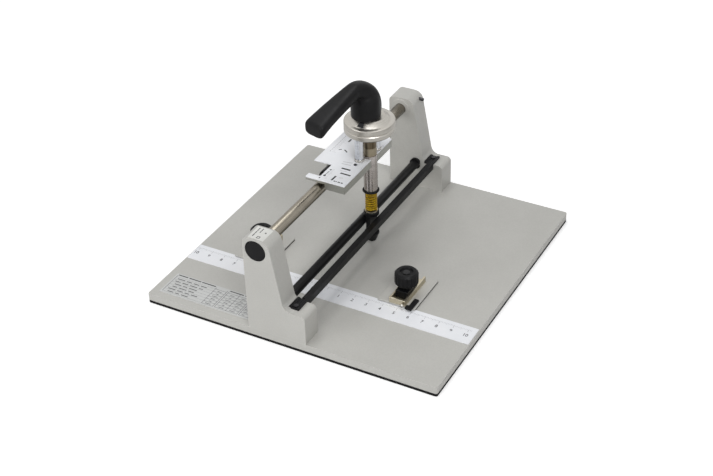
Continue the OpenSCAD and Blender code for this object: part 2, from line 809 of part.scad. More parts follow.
module force_spring() {
    points = [for (i = [0:helix_n]) for (k = [0:ring_sides - 1]) helix_point(i, k)];
    sides = [for (i = [0:helix_n - 1]) for (k = [0:ring_sides - 1])
        let (m = (k + 1) % ring_sides)
        [i * ring_sides + k, i * ring_sides + m, (i + 1) * ring_sides + m, (i + 1) * ring_sides + k]];
    ends = [
        [for (k = [ring_sides - 1:-1:0]) k],
        [for (k = [0:ring_sides - 1]) helix_n * ring_sides + k]
    ];
    color(yellow) translate([cut_x, tool_y, 0])
        polyhedron(points, [for (f = concat(sides, ends)) [for (j = [len(f) - 1:-1:0]) f[j]]]);
}

// ---- Lever handle ----------------------------------------------------------

// A closed ring of the arm: its middle at a reach and a height from the hub's
// foot, its plane tilted by an angle from flat, with a width and a thickness
ring_points = 32;
function blunt(v, p) = sign(v) * pow(abs(v), 2 / p);
function arm_ring(reach, h, tilt, w, t, p) =
    [for (k = [0:ring_points - 1])
        let (a = 360 * (k + 0.5) / ring_points, out = t / 2 * blunt(sin(a), p))
        [reach - out * cos(tilt), w / 2 * blunt(cos(a), p), h + out * sin(tilt)]];
function mix(a, b, f) = a * (1 - f) + b * f;

bend_steps = 6;
arm_rings = concat(
    [arm_ring(0, hub_h / 2, 0, hub_back_d, hub_back_d, 2.3)],
    [for (i = [0:bend_steps])
        let (f = i / bend_steps, tilt = 90 * f)
        arm_ring(bend_r * (1 - cos(tilt)), hub_h + bend_r * sin(tilt), tilt,
                 mix(hub_back_d, arm_w, f), mix(hub_back_d, arm_t, f), 2.3 + 0.5 * f)],
    [for (f = [0.5, 0.93, 1])
        let (round_off = f == 1 ? 0.72 : 1)
        arm_ring(mix(bend_r, arm_len, f), mix(hub_h + bend_r, arm_end_h, f), 90,
                 round_off * mix(arm_w, arm_end_w, f), round_off * mix(arm_t, arm_end_t, f), 3.2)]
);

// The bent arm, skinned over its rings
module bent_arm() {
    n = ring_points;
    last = len(arm_rings) - 1;
    points = [for (r = arm_rings) each r];
    sides = [for (i = [0:last - 1]) for (k = [0:n - 1])
        let (m = (k + 1) % n, a = i * n + k, b = i * n + m, c = a + n, d = b + n)
        each [[a, c, b], [b, c, d]]];
    ends = [[for (k = [0:n - 1]) k], [for (k = [n - 1:-1:0]) last * n + k]];
    rotate([0, 0, arm_angle]) polyhedron(points, concat(sides, ends));
}

module lever_handle() {
    color(black) translate([cut_x, tool_y, handle_z]) difference() {
        union() {
            linear_extrude(hub_h) hull() {
                circle(d = hub_back_d);
                rotate(arm_angle) translate([hub_shift, 0]) circle(d = hub_d);
            }
            bent_arm();
        }
        translate([0, 0, -1]) cylinder(d = stud_d + 2 * run_gap, h = stud_in + 1.3);
    }
}

// ---- Tool holder -----------------------------------------------------------

tip_z = plate_z + tip_gap;
body_z = tip_z + cutter_h;
blade_t = rail_gap - 2 * blade_gap;
set_screw_d = 2.5;
set_screw_z = body_z + body_h / 2;

module tool_holder() {
    color(black) translate([cut_x, tool_y, 0]) difference() {
        union() {
            translate([0, 0, body_z]) rotate_extrude()
                polygon([[0, 0], [holder_d * 0.34, 0], [holder_d / 2, body_h * 0.45],
                         [holder_d / 2, body_h], [0, body_h]]);
            block([-blade_t / 2, -holder_d / 2, body_z + body_h - eps],
                  [blade_t / 2, holder_d / 2, holder_top_z - flange_t + eps]);
            translate([0, 0, holder_top_z - flange_t]) cylinder(d = holder_d, h = flange_t);
            translate([0, 0, holder_top_z - eps])
                cylinder(d = guide_d, h = tube_z - holder_top_z + guide_in);
        }
        translate([0, 0, body_z - 1]) cylinder(d = cutter_d + 2 * run_gap, h = body_h - 0.6);
        translate([0, 0, set_screw_z]) rotate([0, 90, 0])
            cylinder(d = set_screw_d + 2 * run_gap, h = holder_d);
    }
}

module spring_seat() {
    color(bronze) translate([cut_x, tool_y, holder_top_z]) difference() {
        cylinder(d = spring_d + 0.8, h = seat_t);
        translate([0, 0, -1]) cylinder(d = guide_d + 2 * run_gap, h = seat_t + 2);
    }
}

module cutter() {
    color(steel) translate([cut_x, tool_y, tip_z])
        rotate_extrude() polygon([
            [0, 0], [0.3, 0], [cutter_d / 2, cutter_h * 0.7], [cutter_d / 2, cutter_h + body_h - 2],
            [0, cutter_h + body_h - 2]
        ]);
}

module cutter_set_screw() {
    color(dark_steel) translate([cut_x + cutter_d / 2 + run_gap, tool_y, set_screw_z])
        rotate([0, 90, 0]) cylinder(d = set_screw_d, h = (holder_d - cutter_d) / 2 - 0.6);
}

// ---- Side stops ------------------------------------------------------------

stop_z = plate_z + pad_t + stop_plate_t;
channel_floor_z = stop_z + channel_wall;
knob_z = channel_floor_z + knob_lift;
slot_w = bolt_d + 2 * fit_gap;
pad_near = stop_from_ruler - ruler_w / 2 - 0.3;
channel_near = -stop_near + 0.1;
pointer_w = 3.2;
pointer_tab_w = 4.8;
pointer_tab_d = 3.4;
pointer_right = stop_right - 1.2;
pointer_near = -stop_near - 2.1;
pointer_d = 11.5;
pointer_h = 1.2;
spacer_w = channel_w - 2 * channel_side - 2 * fit_gap;
spacer_d = 15;
nut_depth = 6;

// Height of a stop's knob: the left one is raised
function knob_level(x) = knob_z + (x < 0 ? left_knob_rise : 0);

// Moves its children to a stop's bolt axis on the plate
module at_stop(x) {
    translate([x, stop_y, 0]) children();
}

module stop_pad(x) {
    color(black) at_stop(x) difference() {
        block([-stop_left, -pad_near, plate_z], [stop_right, stop_far, plate_z + pad_t]);
        translate([0, 0, plate_z - 1]) y_slot(stop_travel, slot_w, pad_t + 2);
    }
}

module stop_plate(x) {
    color(paint) at_stop(x) difference() {
        block([-stop_left, -stop_near, plate_z + pad_t], [stop_right, stop_far, stop_z]);
        translate([0, 0, plate_z]) y_slot(stop_travel, slot_w, pad_t + stop_plate_t + 1);
    }
}

// A steel tray with a floor, two long walls and a near wall
module stop_channel(x) {
    wall = channel_wall;
    color(steel) at_stop(x) difference() {
        block([-channel_w / 2, channel_near, stop_z],
              [channel_w / 2, channel_near + channel_len, stop_z + channel_h]);
        block([-channel_w / 2 + channel_side, channel_near + channel_side, channel_floor_z],
              [channel_w / 2 - channel_side, channel_near + channel_len + 1, stop_z + channel_h + 1]);
        translate([0, 0, stop_z - 1]) y_slot(stop_travel, slot_w, wall + 2);
    }
}

// Black block round the bolt, between the channel's walls
module stop_spacer(x) {
    color(black) at_stop(x) difference() {
        block([-spacer_w / 2, -spacer_d / 2, channel_floor_z + fit_gap],
              [spacer_w / 2, spacer_d / 2, knob_level(x) - air_gap]);
        translate([0, 0, channel_floor_z - 1])
            cylinder(d = bolt_d + 2 * run_gap, h = knob_lift + left_knob_rise + 2);
    }
}

// Flat black pointer beside the channel, which reads on the ruler
module stop_pointer(x) {
    color(black) at_stop(x) translate([0, 0, stop_z]) linear_extrude(pointer_h)
        polygon([
            [pointer_right - pointer_tab_w, pointer_near], [pointer_right, pointer_near],
            [pointer_right, pointer_near + pointer_d], [pointer_right - pointer_w, pointer_near + pointer_d],
            [pointer_right - pointer_w, pointer_near + pointer_tab_d],
            [pointer_right - pointer_tab_w, pointer_near + pointer_tab_d]
        ]);
}

module stop_bolt(x) {
    color(dark_steel) at_stop(x) {
        block([-head_w / 2, -head_w / 2, mat_t + 0.2], [head_w / 2, head_w / 2, mat_t + 0.2 + head_h]);
        translate([0, 0, mat_t + head_h])
            cylinder(d = bolt_d, h = knob_level(x) + nut_depth - mat_t - head_h);
    }
}

flutes = 18;
flute_d = 1.5;

module stop_knob(x) {
    r = knob_d / 2;
    color(black) at_stop(x) translate([0, 0, knob_level(x)]) difference() {
        rotate_extrude() polygon([
            [0, 0], [r - 2.4, 0], [r - 1.9, 1.2], [r, 3], [r, knob_h - 1.4], [r - 1.4, knob_h],
            [r * 0.58, knob_h], [r * 0.5, knob_h - 1.2], [0, knob_h - 1.2]
        ]);
        for (i = [0:flutes - 1]) rotate([0, 0, 360 * i / flutes])
            translate([r + 0.35, 0, 2]) cylinder(d = flute_d, h = knob_h, $fn = 16);
        translate([0, 0, -1]) cylinder(d = bolt_d + 2 * run_gap, h = nut_depth + 1.3);
    }
}

rubber_mat();
base_plate();
ruler_strip();
table_label();
near_upright();
far_upright();
upright_label();
upright_screws();
guide_rod();
rod_caps();
rod_lock_pin();
front_rail();
rail_screws();
rear_rail();
rail_grommets();
carriage_block();
scale_plate();
scale_screws();
slide_bushes();
guide_posts();
post_rings();
head_drum();
lift_nut();
plunger_tube();
tube_ring();
tube_collar();
force_spring();
lift_screw();
lever_handle();
tool_holder();
spring_seat();
cutter();
cutter_set_screw();
stop_pad(right_stop_x);  // right_stop_pad
stop_plate(right_stop_x);  // right_stop_plate
stop_channel(right_stop_x);  // right_stop_channel
stop_spacer(right_stop_x);  // right_stop_spacer
stop_pointer(right_stop_x);  // right_stop_pointer
stop_bolt(right_stop_x);  // right_stop_bolt
stop_knob(right_stop_x);  // right_stop_knob
stop_pad(-left_stop_x);  // left_stop_pad
stop_plate(-left_stop_x);  // left_stop_plate
stop_channel(-left_stop_x);  // left_stop_channel
stop_spacer(-left_stop_x);  // left_stop_spacer
stop_pointer(-left_stop_x);  // left_stop_pointer
stop_bolt(-left_stop_x);  // left_stop_bolt
stop_knob(-left_stop_x);  // left_stop_knob
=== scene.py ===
# Bench cutting tester for coated panels: materials, printed marks, smooth skins,
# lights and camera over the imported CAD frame. Blender's unit is the metre. Pieces
# are drawn in millimetres and scaled by MM.
import bpy
import bmesh
import json
import math
from mathutils import Matrix, Vector


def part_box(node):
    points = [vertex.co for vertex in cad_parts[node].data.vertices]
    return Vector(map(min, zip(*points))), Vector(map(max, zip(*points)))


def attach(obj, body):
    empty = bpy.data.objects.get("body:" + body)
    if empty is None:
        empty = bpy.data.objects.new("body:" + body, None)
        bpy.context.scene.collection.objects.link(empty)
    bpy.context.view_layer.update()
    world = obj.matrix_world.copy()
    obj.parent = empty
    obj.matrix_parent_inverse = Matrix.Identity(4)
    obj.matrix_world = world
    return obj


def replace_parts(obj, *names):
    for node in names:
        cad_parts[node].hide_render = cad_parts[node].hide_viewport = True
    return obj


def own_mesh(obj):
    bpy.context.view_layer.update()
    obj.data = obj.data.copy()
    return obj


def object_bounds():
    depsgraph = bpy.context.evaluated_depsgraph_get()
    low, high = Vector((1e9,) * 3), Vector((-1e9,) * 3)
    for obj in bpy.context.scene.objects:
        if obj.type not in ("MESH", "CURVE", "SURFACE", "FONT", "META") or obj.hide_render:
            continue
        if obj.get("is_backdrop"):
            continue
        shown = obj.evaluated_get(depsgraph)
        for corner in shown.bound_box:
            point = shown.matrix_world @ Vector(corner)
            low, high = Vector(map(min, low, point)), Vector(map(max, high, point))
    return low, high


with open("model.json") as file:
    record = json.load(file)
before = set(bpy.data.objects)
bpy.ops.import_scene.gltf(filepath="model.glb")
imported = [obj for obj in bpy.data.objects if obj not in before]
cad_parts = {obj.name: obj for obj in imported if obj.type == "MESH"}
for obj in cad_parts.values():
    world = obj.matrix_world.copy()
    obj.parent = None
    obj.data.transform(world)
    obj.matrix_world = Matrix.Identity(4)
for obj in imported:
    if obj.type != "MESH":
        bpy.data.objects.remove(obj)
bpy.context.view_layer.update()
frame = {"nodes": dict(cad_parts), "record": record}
NODES = frame["nodes"]
MM = 0.001

# Places shared with the CAD model, in millimetres
CUT_X, TOOL_Y = -0.8, 12.3
PLATE_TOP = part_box("ruler_strip")[1].z / MM
DECK_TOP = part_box("scale_plate")[1].z / MM
HANDLE_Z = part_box("lever_handle")[0].z / MM
# Thickness of printed ink, in millimetres
INK = 0.04


# ---- Colours and material helpers ------------------------------------------

def rgb(r, g, b):
    """sRGB 0-255 to a linear RGBA colour."""
    def lin(c):
        c /= 255
        return c / 12.92 if c <= 0.04045 else ((c + 0.055) / 1.055) ** 2.4
    return (lin(r), lin(g), lin(b), 1.0)


class Shader:
    """A Principled material with object coordinates and small node helpers."""

    def __init__(self, name, metallic=0.0, specular=0.5, coat=0.0, coat_rough=0.1):
        self.mat = bpy.data.materials.new(name)
        self.mat.use_nodes = True
        self.nt = self.mat.node_tree
        self.nt.nodes.clear()
        self.out = self.nt.nodes.new("ShaderNodeOutputMaterial")
        self.bsdf = self.nt.nodes.new("ShaderNodeBsdfPrincipled")
        self.nt.links.new(self.bsdf.outputs[0], self.out.inputs[0])
        self.bsdf.inputs["Metallic"].default_value = metallic
        self.bsdf.inputs["Specular IOR Level"].default_value = specular
        self.bsdf.inputs["Coat Weight"].default_value = coat
        self.bsdf.inputs["Coat Roughness"].default_value = coat_rough
        self.co = self.nt.nodes.new("ShaderNodeTexCoord").outputs["Object"]
        self.bumps = None

    def link(self, a, b):
        self.nt.links.new(a, b)

    def stretched(self, scale):
        m = self.nt.nodes.new("ShaderNodeMapping")
        m.inputs["Scale"].default_value = scale
        self.link(self.co, m.inputs["Vector"])
        return m.outputs[0]

    def noise(self, scale, detail=3.0, rough=0.5, vec=None):
        n = self.nt.nodes.new("ShaderNodeTexNoise")
        n.inputs["Scale"].default_value = scale
        n.inputs["Detail"].default_value = detail
        n.inputs["Roughness"].default_value = rough
        self.link(vec or self.co, n.inputs["Vector"])
        return n.outputs["Fac"]

    def cells(self, scale):
        n = self.nt.nodes.new("ShaderNodeTexVoronoi")
        n.inputs["Scale"].default_value = scale
        self.link(self.co, n.inputs["Vector"])
        return n.outputs["Distance"]

    def span(self, value, low, high, start=0.3, end=0.7):
        """Maps start to end of a value onto low to high."""
        m = self.nt.nodes.new("ShaderNodeMapRange")
        m.inputs["From Min"].default_value = start
        m.inputs["From Max"].default_value = end
        m.inputs["To Min"].default_value = low
        m.inputs["To Max"].default_value = high
        self.link(value, m.inputs["Value"])
        return m.outputs[0]

    def mix(self, fac, a, b):
        m = self.nt.nodes.new("ShaderNodeMix")
        m.data_type = "RGBA"
        self.link(fac, m.inputs["Factor"])
        for socket, value in ((m.inputs["A"], a), (m.inputs["B"], b)):
            if isinstance(value, tuple):
                socket.default_value = value
            else:
                self.link(value, socket)
        return m.outputs["Result"]

    def colour(self, value):
        if isinstance(value, tuple):
            self.bsdf.inputs["Base Color"].default_value = value
        else:
            self.link(value, self.bsdf.inputs["Base Color"])

    def roughness(self, value):
        if isinstance(value, float):
            self.bsdf.inputs["Roughness"].default_value = value
        else:
            self.link(value, self.bsdf.inputs["Roughness"])

    def bump(self, height, distance, strength):
        """Adds a bump over the ones before it."""
        b = self.nt.nodes.new("ShaderNodeBump")
        b.inputs["Distance"].default_value = distance
        b.inputs["Strength"].default_value = strength
        self.link(height, b.inputs["Height"])
        if self.bumps:
            self.link(self.bumps, b.inputs["Normal"])
        self.bumps = b.outputs[0]
        self.link(self.bumps, self.bsdf.inputs["Normal"])

    def worn_edge(self, base, edge, radius, amount):
        """Mixes in a paler edge colour where the surface turns sharply: edge wear, and a painted
        highlight along the edges.
        """
        bevel = self.nt.nodes.new("ShaderNodeBevel")
        bevel.samples = 4
        bevel.inputs["Radius"].default_value = radius
        geo = self.nt.nodes.new("ShaderNodeNewGeometry")
        dot = self.nt.nodes.new("ShaderNodeVectorMath")
        dot.operation = "DOT_PRODUCT"
        self.link(bevel.outputs[0], dot.inputs[0])
        self.link(geo.outputs["Normal"], dot.inputs[1])
        return self.mix(self.span(dot.outputs["Value"], amount, 0.0, 0.75, 0.99), base, edge)


def grey_paint():
    """Light grey powder paint: fine orange peel, a faint mottle, paler edges as wear and a painted
    edge highlight.
    """
    s = Shader("grey_paint", specular=0.45, coat=0.08, coat_rough=0.3)
    base = s.mix(s.span(s.noise(28, 4, 0.6), 0, 1), rgb(184, 183, 178), rgb(191, 190, 185))
    base = s.mix(s.span(s.noise(900, 2), 0.0, 0.35, 0.35, 0.75), base, rgb(173, 172, 167))
    # Paler edges: edge wear and a painted highlight along the edges
    s.colour(s.worn_edge(base, rgb(206, 205, 201), 0.0006, 0.5))
    s.roughness(s.span(s.noise(160, 3), 0.38, 0.5))
    s.bump(s.noise(1500, 2, 0.4), 0.00003, 0.5)
    s.bump(s.noise(420, 2, 0.4), 0.00005, 0.35)
    return s.mat


def foil(name, light, dark, rough=0.42):
    """A printed label foil: smooth, slightly uneven where it is stuck down."""
    s = Shader(name, specular=0.5, coat=0.2, coat_rough=0.25)
    s.colour(s.mix(s.span(s.noise(60, 4, 0.6), 0, 1), light, dark))
    s.roughness(s.span(s.noise(240, 3), rough - 0.06, rough + 0.08))
    s.bump(s.noise(180, 2, 0.5), 0.00004, 0.4)
    s.bump(s.noise(2600, 1), 0.000012, 0.3)
    return s.mat


def rubber(name, shade, grain=1900):
    """Dull black rubber with a fine grain."""
    s = Shader(name, specular=0.15)
    s.colour(s.mix(s.span(s.noise(420, 4, 0.6), 0, 1), rgb(shade, shade, shade),
                   rgb(shade + 13, shade + 13, shade + 13)))
    s.roughness(s.span(s.noise(300, 3), 0.62, 0.82))
    s.bump(s.noise(grain, 3, 0.6), 0.00006, 0.6)
    return s.mat


def satin_black(name, shade, rough, grain, depth):
    """Black paint or moulded plastic with a fine grain and paler edges."""
    s = Shader(name, specular=0.12)
    base = s.mix(s.span(s.noise(90, 4, 0.6), 0, 1), rgb(shade, shade, shade + 1),
                 rgb(shade + 9, shade + 9, shade + 10))
    s.colour(s.worn_edge(base, rgb(shade + 34, shade + 34, shade + 35), 0.0003, 0.35))
    s.roughness(s.span(s.noise(130, 4, 0.6), rough - 0.06, rough + 0.1))
    s.bump(s.noise(grain, 3, 0.55), depth, 0.55)
    s.bump(s.cells(grain * 0.7), depth * 0.6, 0.25)
    return s.mat


def metal(name, light, dark, rough, grain, depth=0.00002, scratch=0.3, edge=None):
    """Steel or bronze: streaks stretched along one axis, with fine scratches. The streaks are
    brushing, and on the lift screw they are painted reflections.
    """
    s = Shader(name, metallic=1.0)
    vec = s.stretched(grain)
    line = s.noise(1.0, 5, 0.65, vec)
    base = s.mix(s.span(line, 0, 1, 0.25, 0.75), light, dark)
    base = s.mix(s.span(s.noise(70, 4, 0.6), 0, 0.5), base, dark)
    # An edge colour, where given, is a painted highlight along sharp edges
    s.colour(s.worn_edge(base, edge, 0.0003, 0.8) if edge else base)
    s.roughness(s.span(line, rough - 0.06, rough + 0.12))
    s.bump(line, depth, scratch)
    s.bump(s.noise(140, 3), 0.00002, 0.1)
    return s.mat


def yellow_wire():
    """Painted spring wire with thin, darker spots and small drips of gloss."""
    s = Shader("yellow_wire", specular=0.25)
    base = s.mix(s.span(s.noise(420, 4, 0.6), 0, 1), rgb(186, 152, 12), rgb(142, 111, 5))
    s.colour(s.mix(s.span(s.noise(1500, 3), 0, 0.8, 0.6, 0.75), base, rgb(84, 64, 10)))
    s.roughness(s.span(s.noise(600, 3), 0.28, 0.45))
    s.bump(s.noise(1800, 3), 0.00004, 0.4)
    return s.mat


def ink(name, shade):
    """Screen-printed ink, a little uneven in density."""
    s = Shader(name, specular=0.3)
    s.colour(s.mix(s.span(s.noise(1400, 4, 0.6), 0, 1), rgb(shade, shade, shade + 2),
                   rgb(shade + 22, shade + 22, shade + 24)))
    s.roughness(s.span(s.noise(500, 2), 0.45, 0.6))
    s.bump(s.noise(2400, 2), 0.00001, 0.4)
    return s.mat


M = {
    "mat_rubber": rubber("mat_rubber", 7),
    "black_rubber": rubber("black_rubber", 22, 2600),
    "grey_paint": grey_paint(),
    "white_foil": foil("white_foil", rgb(241, 242, 245), rgb(233, 235, 239)),
    "grey_foil": foil("grey_foil", rgb(201, 202, 201), rgb(193, 194, 192)),
    "dull_foil": foil("dull_foil", rgb(222, 222, 218), rgb(208, 208, 203), 0.34),
    "dark_steel": metal("dark_steel", rgb(78, 78, 80), rgb(46, 46, 48), 0.38, (900, 900, 900)),
    "polished_steel": metal("polished_steel", rgb(212, 210, 205), rgb(170, 167, 162), 0.13,
                            (220, 40, 2600), 0.000008, 0.2),
    "rod_steel": metal("rod_steel", rgb(170, 164, 152), rgb(112, 106, 95), 0.2,
                       (2400, 60, 2400), 0.00001, 0.25),
    "turned_steel": metal("turned_steel", rgb(202, 199, 193), rgb(166, 162, 154), 0.3,
                          (60, 60, 3600), 0.00002, 0.45),
    "tube_steel": metal("tube_steel", rgb(216, 210, 206), rgb(150, 143, 140), 0.2,
                        (50, 50, 3000), 0.000012, 0.3),
    # Near-white edges: a painted highlight on the stop channels and the spring seat
    "channel_steel": metal("channel_steel", rgb(214, 206, 184), rgb(168, 158, 134), 0.3,
                           (2600, 70, 2600), 0.00002, 0.4, rgb(250, 248, 240)),
    "grey_metal": metal("grey_metal", rgb(176, 176, 170), rgb(150, 150, 144), 0.42,
                        (1800, 50, 1800), 0.00002, 0.35),
    "bronze": metal("bronze", rgb(190, 180, 160), rgb(134, 124, 104), 0.34, (60, 60, 3000),
                    0.00002, 0.4),
    "pale_steel": metal("pale_steel", rgb(228, 230, 234), rgb(186, 189, 194), 0.2, (60, 60, 3000),
                        0.00001, 0.25),
    # Lift screw: light and dark streaks along its axis, painted as its vertical reflections
    "thread_bronze": metal("thread_bronze", rgb(150, 138, 116), rgb(66, 56, 42), 0.3,
                           (900, 900, 60), 0.00003, 0.4),
    "black_plastic": satin_black("black_plastic", 17, 0.36, 1500, 0.00005),
    "black_paint": satin_black("black_paint", 15, 0.34, 2100, 0.00003),
    "knob_cap": satin_black("knob_cap", 46, 0.3, 1500, 0.00003),
    "handle_plastic": satin_black("handle_plastic", 20, 0.36, 1250, 0.00007),
    "yellow_paint": yellow_wire(),
    "ink_dark": ink("ink_dark", 58),
    "ink_black": ink("ink_black", 26),
    "ink_mid": ink("ink_mid", 104),
    "ink_grey": ink("ink_grey", 132),
    "ink_pale": ink("ink_pale", 182),
}

SLOTS = {s["node"]: s["material_slot"] for s in frame["record"]["subparts"]}
# Pieces whose look differs from the rest of their slot
OWN = {
    "guide_rod": "rod_steel", "plunger_tube": "tube_steel",
    "right_stop_channel": "channel_steel", "left_stop_channel": "channel_steel",
    "carriage_block": "grey_metal", "guide_posts": "pale_steel", "lift_screw": "thread_bronze",
    "spring_seat": "channel_steel",
}
for name, node in NODES.items():
    node.data.materials.clear()
    node.data.materials.append(M[OWN.get(name, SLOTS[name])])


# ---- Edges of the carried-over CAD pieces ----------------------------------

# Bevel widths in millimetres
BEVELS = {
    "base_plate": 0.5, "rubber_mat": 0.4, "near_upright": 0.6, "far_upright": 0.6,
    "front_rail": 0.35, "carriage_block": 0.4, "scale_plate": 0.18,
    "right_stop_plate": 0.2, "left_stop_plate": 0.2,
    "right_stop_channel": 0.18, "left_stop_channel": 0.18,
    "right_stop_spacer": 0.4, "left_stop_spacer": 0.4,
    "right_stop_pad": 0.12, "left_stop_pad": 0.12,
    "right_stop_pointer": 0.2, "left_stop_pointer": 0.2,
    "guide_rod": 0.4, "rear_rail": 0.3, "slide_bushes": 0.4,
    "rod_lock_pin": 0.25, "post_rings": 0.2, "rail_grommets": 0.4,
}
# Corners turn sharp from BEVEL_FROM on, and vertices merge within MERGE_WITHIN metres
BEVEL_FROM, MERGE_WITHIN = math.radians(40), 1e-6
for name, width in BEVELS.items():
    weld = NODES[name].modifiers.new("weld", "WELD")
    weld.merge_threshold = MERGE_WITHIN
    bevel = NODES[name].modifiers.new("bevel", "BEVEL")
    bevel.width = width * MM
    bevel.segments = 2
    bevel.limit_method = "ANGLE"
    bevel.angle_limit = BEVEL_FROM
    bevel.harden_normals = True


# ---- Mesh helpers, all in millimetres ----------------------------------------

# Smooth faces split where they turn by more than this
SHARP_FROM = math.radians(28)
DOT_SIDES = 14


def box_mm(node):
    """The low and high corners of a CAD solid."""
    low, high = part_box(node)
    return low / MM, high / MM


def add(name, bm, material, body, smooth=False):
    """A new piece from a bmesh, riding on a body.

    smooth is False, True, or "edges" for smooth faces between sharp edges.
    """
    mesh = bpy.data.meshes.new(name)
    bmesh.ops.recalc_face_normals(bm, faces=bm.faces[:])
    bm.to_mesh(mesh)
    bm.free()
    mesh.transform(Matrix.Scale(MM, 4))
    for p in mesh.polygons:
        p.use_smooth = bool(smooth)
    if smooth == "edges":
        mesh.set_sharp_from_angle(angle=SHARP_FROM)
    mesh.materials.append(M[material])
    obj = bpy.data.objects.new(name, mesh)
    bpy.context.scene.collection.objects.link(obj)
    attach(obj, body)
    return obj


def slab(bm, corners, z0, z1):
    """A thin solid between two heights over a convex outline."""
    low = [bm.verts.new((x, y, z0)) for x, y in corners]
    top = [bm.verts.new((x, y, z1)) for x, y in corners]
    n = len(corners)
    bm.faces.new(low[::-1])
    bm.faces.new(top)
    for i in range(n):
        j = (i + 1) % n
        bm.faces.new((low[i], low[j], top[j], top[i]))


def stroke(bm, a, b, width, z):
    """A printed line from a to b, on a surface at height z."""
    a, b = Vector(a), Vector(b)
    side = (b - a).normalized().orthogonal() * width / 2
    slab(bm, [tuple(a - side), tuple(b - side), tuple(b + side), tuple(a + side)], z, z + INK)


def dot(bm, x, y, r, z):
    """A printed round dot, on a surface at height z."""
    turns = [math.tau * k / DOT_SIDES for k in range(DOT_SIDES)]
    slab(bm, [(x + r * math.cos(a), y + r * math.sin(a)) for a in turns], z, z + INK)


def skin(bm, rings, closed=False):
    """Joins rings of vertices: capped at both ends, or closed into a loop."""
    n = len(rings[0])
    for a, b in zip(rings, rings[1:] + rings[:1] if closed else rings[1:]):
        for k in range(n):
            m = (k + 1) % n
            bm.faces.new((a[k], a[m], b[m], b[k]))
    if not closed:
        bm.faces.new(rings[0][::-1])
        bm.faces.new(rings[-1])


def lathe(bm, profile, centre, sides=48, axis="z", hollow=False):
    """Turns a (radius, height) profile round an axis through centre."""
    rings = []
    for r, h in profile:
        ring = []
        for k in range(sides):
            a = math.tau * k / sides
            p = Vector((r * math.cos(a), r * math.sin(a), h))
            if axis == "y":
                p = Vector((p.x, -p.z, p.y))
            elif axis == "x":
                p = Vector((p.z, p.x, p.y))
            ring.append(bm.verts.new(Vector(centre) + p))
        rings.append(ring)
    skin(bm, rings, hollow)


# ---- Ruler -----------------------------------------------------------------

# The middle zero, the edge that the marks start from, and the numbers' line
ZERO_X, MARKS_Y, NUMBERS_Y = -1.55, -45.9, -51.7
LAST_MARK, LAST_NUMBER = 102, 10
DIGIT_H = 2.7
# Font size for a digit one unit high, and how far its strokes are thickened
FONT_PER_HEIGHT, DIGIT_GROW = 1.36, 0.04

bm = bmesh.new()
for mark in range(-LAST_MARK, LAST_MARK + 1):
    reach, width = (2.6, 0.2) if mark % 10 == 0 else (1.7, 0.12) if mark % 5 == 0 else (1.0, 0.12)
    x = ZERO_X + mark
    stroke(bm, (x, MARKS_Y), (x, MARKS_Y - reach), width, PLATE_TOP)
add("ruler_ticks", bm, "ink_grey", "base")


def digits(text, x, y, height, z):
    """Printed digits as a mesh in metres, centred on (x, y)."""
    curve = bpy.data.curves.new("digits", "FONT")
    curve.body = text
    curve.align_x, curve.align_y = "CENTER", "CENTER"
    curve.size = height * FONT_PER_HEIGHT * MM
    curve.extrude = INK / 2 * MM
    curve.offset = DIGIT_GROW * MM
    obj = bpy.data.objects.new("digits", curve)
    bpy.context.scene.collection.objects.link(obj)
    obj.location = (x * MM, y * MM, (z + INK / 2) * MM)
    bpy.context.view_layer.update()
    graph = bpy.context.evaluated_depsgraph_get()
    mesh = bpy.data.meshes.new_from_object(obj.evaluated_get(graph))
    mesh.transform(obj.matrix_world)
    bpy.data.objects.remove(obj)
    bpy.data.curves.remove(curve)
    return mesh


bm = bmesh.new()
for number in range(-LAST_NUMBER, LAST_NUMBER + 1):
    if number:
        part = digits(str(abs(number)), ZERO_X + 10 * number, NUMBERS_Y, DIGIT_H, PLATE_TOP)
        part.transform(Matrix.Scale(1 / MM, 4))
        bm.from_mesh(part)
        bpy.data.meshes.remove(part)
add("ruler_numbers", bm, "ink_dark", "base")


# ---- Table label -----------------------------------------------------------

low, high = box_mm("table_label")
far_y, near_y = high.y - 1.3, low.y + 1.4
HEADING_GAP, ROWS, ROW_MIDDLE = 2.2, 6, 1.15
row_y = [near_y + (far_y - HEADING_GAP - near_y) * i / ROWS for i in range(ROWS + 1)]

# Columns from left to right: text, one box, two boxes, and one to the end
TEXT_COLUMN = (-97.6, -67.1)
BOX_SPANS = ((-67.1, -58.6), (-57.3, -40.3), (-39.0, high.x - 1))
UPRIGHT_LINES = (-97.6, -67.1, -58.6, -57.3, -48.8, -40.3, -39.0)

bm = bmesh.new()
for x in UPRIGHT_LINES:
    stroke(bm, (x, near_y), (x, far_y - 0.6), 0.3, PLATE_TOP)
for y in row_y:
    for x0, x1 in BOX_SPANS:
        stroke(bm, (x0, y), (x1, y), 0.28, PLATE_TOP)
    stroke(bm, (TEXT_COLUMN[0], y), (TEXT_COLUMN[1], y), 0.1, PLATE_TOP)
add("table_grid", bm, "ink_mid", "base")

# Blank strokes in place of the headings, the words and the values
HEADINGS = ((-97.2, -90.0), (-89.0, -79.6), (-78.8, -68.2), (-57.0, -46.6), (-45.4, -42.6))
WORD_LENGTHS = ((4.4, 3.0, 5.2), (5.6, 4.2, 3.4, 4.8), (3.6, 5.8, 4.4), (5.0, 3.2, 6.0),
                (4.0, 4.6, 5.4, 3.0), (5.8, 3.8, 4.2, 4.4))
WORDS_X, WORD_INDENT, WORD_SPACE = -95.6, 1.4, 1.5
VALUES_X = (-62.9, -53.0, -44.5, -36.2)

